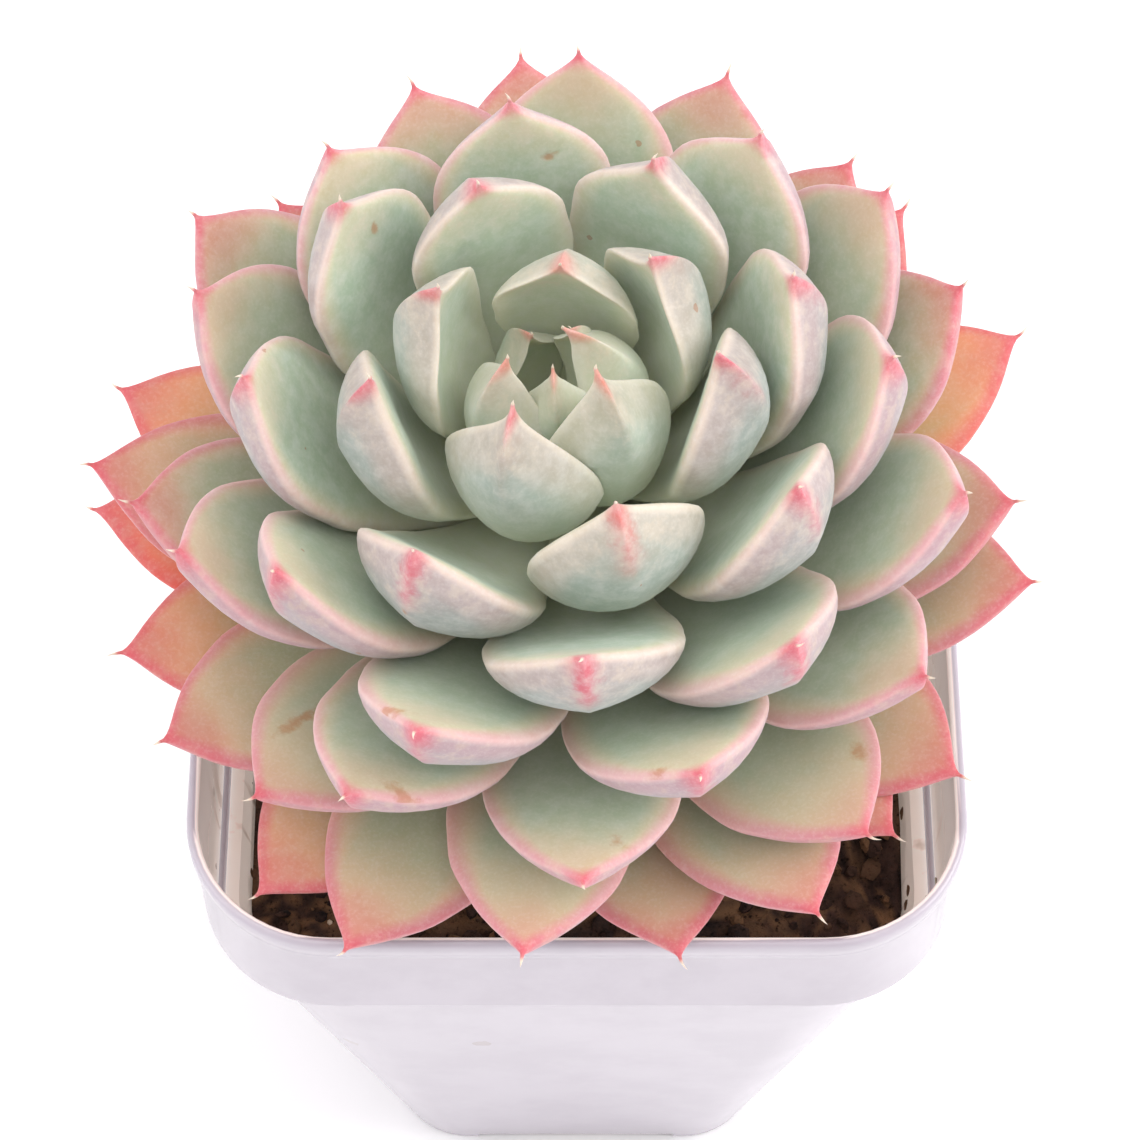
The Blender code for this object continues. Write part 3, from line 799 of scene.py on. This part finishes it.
colour = mixed(tree, back, front_colour, back_colour)
# Paler towards the leaf's base: partly the leaf's own paler base, and partly painted light that
# lifts the shade between the crowded leaves.
pale_base_and_painted_light = fade(tree, skin["X"], 30.0, 9.0)
colour = mixed(tree, maths(tree, "MULTIPLY", pale_base_and_painted_light, 0.85), colour, paint(226, 230, 204))
smudge = maths(tree, "MULTIPLY", fade(tree, to_tip, 8.5, 3.5), fade(tree, mottle, 0.47, 0.62))
colour = mixed(tree, maths(tree, "MULTIPLY", smudge, 0.2), colour, OCHRE)
ragged_keel = maths(tree, "ADD", middle, maths(tree, "MULTIPLY", mottle, 3.2))
keel = maths(tree, "MULTIPLY", fade(tree, ragged_keel, 3.6, 1.4), fade(tree, to_tip, 6.5, 1.5))
keel = maths(tree, "MULTIPLY", keel, maths(tree, "MULTIPLY", back, given["Streak"]))
point = maths(tree, "MAXIMUM", fade(tree, edge["Y"], 2.6, 0.3), keel)
blush = mixed(tree, fade(tree, given["Ripeness"], 0.07, 0.13), SALMON, CRIMSON)
colour = mixed(tree, maths(tree, "MULTIPLY", point, 0.85), colour, blush)
sunburn = maths(tree, "MULTIPLY", fade(tree, to_tip, 8.0, 2.0),
                fade(tree, given["Ripeness"], 0.3, 0.6))
colour = mixed(tree, maths(tree, "MULTIPLY", sunburn, 0.6), colour, SUNBURNT)
hair = fade(tree, edge["X"], 0.2, 0.05)
hair = maths(tree, "MULTIPLY", hair, fade(tree, edge["Y"], 1.2, 2.5))
hair = maths(tree, "MULTIPLY", hair, fade(tree, given["Ripeness"], 0.55, 0.25))
colour = mixed(tree, maths(tree, "MULTIPLY", hair, 0.1), colour, PALE_EDGE)
bloom = maths(tree, "MULTIPLY", fade(tree, mottle, 0.3, 0.75), given["Bloom"])
colour = mixed(tree, bloom, colour, paint(232, 232, 230))
colour = mixed(tree, maths(tree, "MULTIPLY", fade(tree, powder, 0.45, 0.7), 0.07), colour,
               paint(250, 250, 246))
spots = place_group(tree, specks, {"Vector": place, "Scale": 210.0, "Size": 0.085,
                                   "Share": 0.11})["Mask"]
colour = mixed(tree, maths(tree, "MULTIPLY", spots, 0.5), colour, DRY_BROWN)
mark = stored(tree, "mark", "Vector")
away = put(tree, "ShaderNodeVectorMath", {0: stored(tree, "skin", "Vector"), 1: mark},
           operation="SUBTRACT")
spread = stored(tree, "mark_spread", "Vector")
away = put(tree, "ShaderNodeVectorMath", {0: away, 1: spread}, operation="MULTIPLY")
away = put(tree, "ShaderNodeVectorMath", {0: away}, out="Value", operation="LENGTH")
ragged = maths(tree, "ADD", away, maths(tree, "MULTIPLY", mottle, 2.4))
scar = fade(tree, ragged, 2.2, 1.3)
colour = mixed(tree, maths(tree, "MULTIPLY", scar, 0.6), colour, SCAR_TAN)
spine = fade(tree, edge["Z"], 0.1, 0.55)
colour = mixed(tree, spine, colour, DRY_SPINE)
tree.links.new(colour, made.inputs["Color"])
rough = maths(tree, "ADD", maths(tree, "MULTIPLY", mottle, 0.16), 0.44)
rough = maths(tree, "ADD", rough, maths(tree, "MULTIPLY", scar, 0.2))
tree.links.new(rough, made.inputs["Roughness"])
relief = maths(tree, "ADD", maths(tree, "MULTIPLY", mottle, 0.5),
               maths(tree, "MULTIPLY", powder, 0.12))
relief = maths(tree, "SUBTRACT", relief, maths(tree, "MULTIPLY", scar, 0.8))
tree.links.new(relief, made.inputs["Height"])


def leaf_material(name, band, rim, bloom, roughness_share):
    finish, tree, shader = new_material(
        name, Specular_IOR_Level=0.35, Subsurface_Weight=0.22, Subsurface_Scale=3 * MM,
        Sheen_Weight=0.12, Sheen_Roughness=0.5)
    shader.inputs["Subsurface Radius"].default_value = (1.0, 0.75, 0.5)
    looks = place_group(tree, leaf_colour, {
        "Ripeness": stored(tree, "ripeness"), "Band": band, "Rim": rim,
        "Streak": stored(tree, "streak"), "Bloom": bloom})
    tree.links.new(looks["Color"], shader.inputs["Base Color"])
    dull = maths(tree, "MULTIPLY", looks["Roughness"], roughness_share)
    tree.links.new(dull, shader.inputs["Roughness"])
    bump = put(tree, "ShaderNodeBump", {"Strength": 0.22, "Distance": 0.3 * MM,
                                        "Height": looks["Height"]})
    tree.links.new(bump, shader.inputs["Normal"])
    return finish


leaf_slots = (
    ("young_leaf", 24, leaf_material("powdery_young_leaf", 3.6, 1.3, 0.26, 1.05)),
    ("grown_leaf", 44, leaf_material("powdery_grown_leaf", 4.4, 2.0, 0.16, 1.0)),
    ("old_leaf", OLDEST + 1, leaf_material("ripened_old_leaf", 6.5, 2.8, 0.08, 0.92)),
)
# Old bruises: distance from the leaf's tip and from its middle, whether it is on the upper
# (0) or the under (1) skin, and its half length and half width, in millimetres.
BRUISES = {15: (6.5, -2, 0, 0.9, 0.6), 17: (6, -0.5, 1, 1.1, 0.5), 18: (7.5, -3, 0, 0.8, 1.3),
           30: (3.5, -4, 0, 1.0, 3.5), 35: (3.5, -7, 0, 1.0, 6.0), 38: (4.5, 5, 0, 1.2, 5.0),
           43: (6, 3.5, 0, 1.2, 1.1), 46: (11, -4, 0, 4.5, 0.9), 48: (9, 6, 0, 1.5, 1.2)}
NO_BRUISE = (0, 0, 99, 1, 1)


# Leaves with a rosy keel, and how strongly it shows; the others hardly have one.
STREAKS = {11: 0.35, 14: 0.75, 16: 0.3, 17: 0.8, 19: 0.7, 22: 0.95, 25: 0.6, 27: 0.9, 30: 0.6,
           35: 0.7, 38: 0.6}
SHADY_SIDE_RIPENESS = 0.62


def finish_leaf(piece, number):
    """Gives a leaf its ripeness, streak, bruise and material."""
    luck = random.Random(900 + number)
    ends = [piece.data.vertices[0].co, piece.data.vertices[-1].co]
    outward = ((ends[1] - ends[0]) * Vector((1, 1, 0))).normalized()
    sun = 1 if number < 12 else (outward.y + 1) / 1.25
    sun = SHADY_SIDE_RIPENESS + (1 - SHADY_SIDE_RIPENESS) * min(1.0, sun)
    ripeness = min(1.0, max(0.0, number / OLDEST * sun + luck.uniform(-0.03, 0.03)))
    count = len(piece.data.vertices)
    attribute(piece.data, "ripeness", "FLOAT", [ripeness] * count)
    attribute(piece.data, "streak", "FLOAT", [STREAKS.get(number, 0.1)] * count)
    from_tip, y, under, half_long, half_wide = BRUISES.get(number, NO_BRUISE)
    length = piece.data.attributes["skin"].data[-1].vector.x
    mark = (length - from_tip, y, under)
    attribute(piece.data, "mark", "FLOAT_VECTOR", [mark] * count)
    spread = (1 / half_long, 1 / half_wide, 3)
    attribute(piece.data, "mark_spread", "FLOAT_VECTOR", [spread] * count)
    slot, _, finish = next(row for row in leaf_slots if number < row[1])
    piece.data.materials.append(finish)
    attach(piece, "root")


def spine_length(number):
    luck = random.Random(300 + number)
    return (0.8 + 0.8 * min(1, number / 40) * luck.uniform(0.3, 1.2)) * MM


leaf_numbers = sorted(int(name[5:]) for name in nodes if name.startswith("leaf_"))
solids = {number: leaf_sections(f"leaf_{number:02d}") for number in leaf_numbers}
for number in leaf_numbers:
    piece = leaf_skin(f"leaf_skin_{number:02d}", solids[number], number, spine_length(number),
                      f"leaf_{number:02d}")
    finish_leaf(piece, number)
    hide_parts(f"leaf_{number:02d}")


# --- the bud and the hidden leaves -----------------------------------------------------
# The three smallest leaves stand closed in the heart, and a few old ones show only a tip
# between their neighbours. Each is grown from the solid of a leaf near it in age: turned
# on round the stem by the spiral's angle, drawn smaller and moved along the stem.

rosette_foot = stem_foot + axis * stem_length
# number: the leaf it is like, its size, and how far it moves up the stem, in millimetres
GROWN_FROM = {
    0: (3, 0.58, 6.0), 1: (4, 0.78, 3.5), 2: (5, 0.72, -0.5),
    44: (41, 0.98, -2.0), 52: (54, 1.0, 1.0), 58: (57, 0.98, 0.0),
    65: (62, 0.96, -0.5), 69: (67, 0.92, 0.0),
}
for number, (like, size, rise) in GROWN_FROM.items():
    turn = math.radians(GROWTH_TURN * (like - number))
    centre = Matrix.Translation(rosette_foot)
    placed = (Matrix.Translation(axis * rise * MM) @ centre @ Matrix.Rotation(turn, 4, axis)
              @ Matrix.Scale(size, 4) @ centre.inverted())
    piece = leaf_skin(f"leaf_skin_{number:02d}", solids[like], number,
                      spine_length(number) / size, f"leaf_{like:02d}", placed)
    finish_leaf(piece, number)


# --- floor, light and camera ----------------------------------------------------------
# A plain white table under a large soft box, in an evenly lit white room. The camera
# looks down on the heart of the rosette with a long lens, from a little above the front.

FLOOR_REACH = 3.0
LENS = 125.6
SENSOR = 36.0
CAMERA_DISTANCE = 0.449
CAMERA_ELEVATION = math.radians(58)
AIM_RIGHT, AIM_BEHIND = -0.75 * MM, 4.8 * MM

corners = [(-FLOOR_REACH, -FLOOR_REACH, 0), (FLOOR_REACH, -FLOOR_REACH, 0),
           (FLOOR_REACH, FLOOR_REACH, 0), (-FLOOR_REACH, FLOOR_REACH, 0)]
floor = mesh_piece("floor", corners, [(0, 1, 2, 3)])
white, tree, shader = new_material("white_table", Roughness=0.9, Specular_IOR_Level=0.1)
place = put(tree, "ShaderNodeTexCoord", {}, out="Object")
tone = grain(tree, place, 6.0)
tree.links.new(mixed(tree, tone, paint(250, 250, 250), paint(253, 253, 253)),
               shader.inputs["Base Color"])
floor.data.materials.append(white)

scene = bpy.context.scene
scene.view_settings.view_transform = "Standard"
world = bpy.data.worlds.new("white_room")
world.use_nodes = True
sky = world.node_tree.nodes["Background"]
sky.inputs["Color"].default_value = (1.0, 0.97, 0.995, 1.0)
sky.inputs["Strength"].default_value = 0.78
scene.world = world


def soft_box(name, place, size, power, target):
    lamp = bpy.data.lights.new(name, "AREA")
    lamp.shape, lamp.size, lamp.size_y = "RECTANGLE", size[0], size[1]
    lamp.energy = power
    holder = bpy.data.objects.new(name, lamp)
    holder.location = place
    holder.rotation_euler = (Vector(target) - Vector(place)).to_track_quat("-Z", "Y").to_euler()
    scene.collection.objects.link(holder)


heart = Vector((pot_middle.x, pot_middle.y, rim_height))
soft_box("overhead_box", (-0.05, -0.15, 1.4), (1.5, 1.3), 10.0, heart)
soft_box("left_box", (-1.2, 0.0, 0.9), (1.0, 1.0), 5.5, heart)
soft_box("right_box", (1.2, 0.0, 0.9), (1.0, 1.0), 13.0, heart)

camera = bpy.data.cameras.new("camera")
camera.lens = LENS
camera.sensor_width = SENSOR
eye = bpy.data.objects.new("camera", camera)
aim = heart + Vector((AIM_RIGHT, AIM_BEHIND, 0))
back_off = Vector((0, -math.cos(CAMERA_ELEVATION), math.sin(CAMERA_ELEVATION)))
eye.location = aim + back_off * CAMERA_DISTANCE
eye.rotation_euler = (-back_off).to_track_quat("-Z", "Y").to_euler()
scene.collection.objects.link(eye)
scene.camera = eye
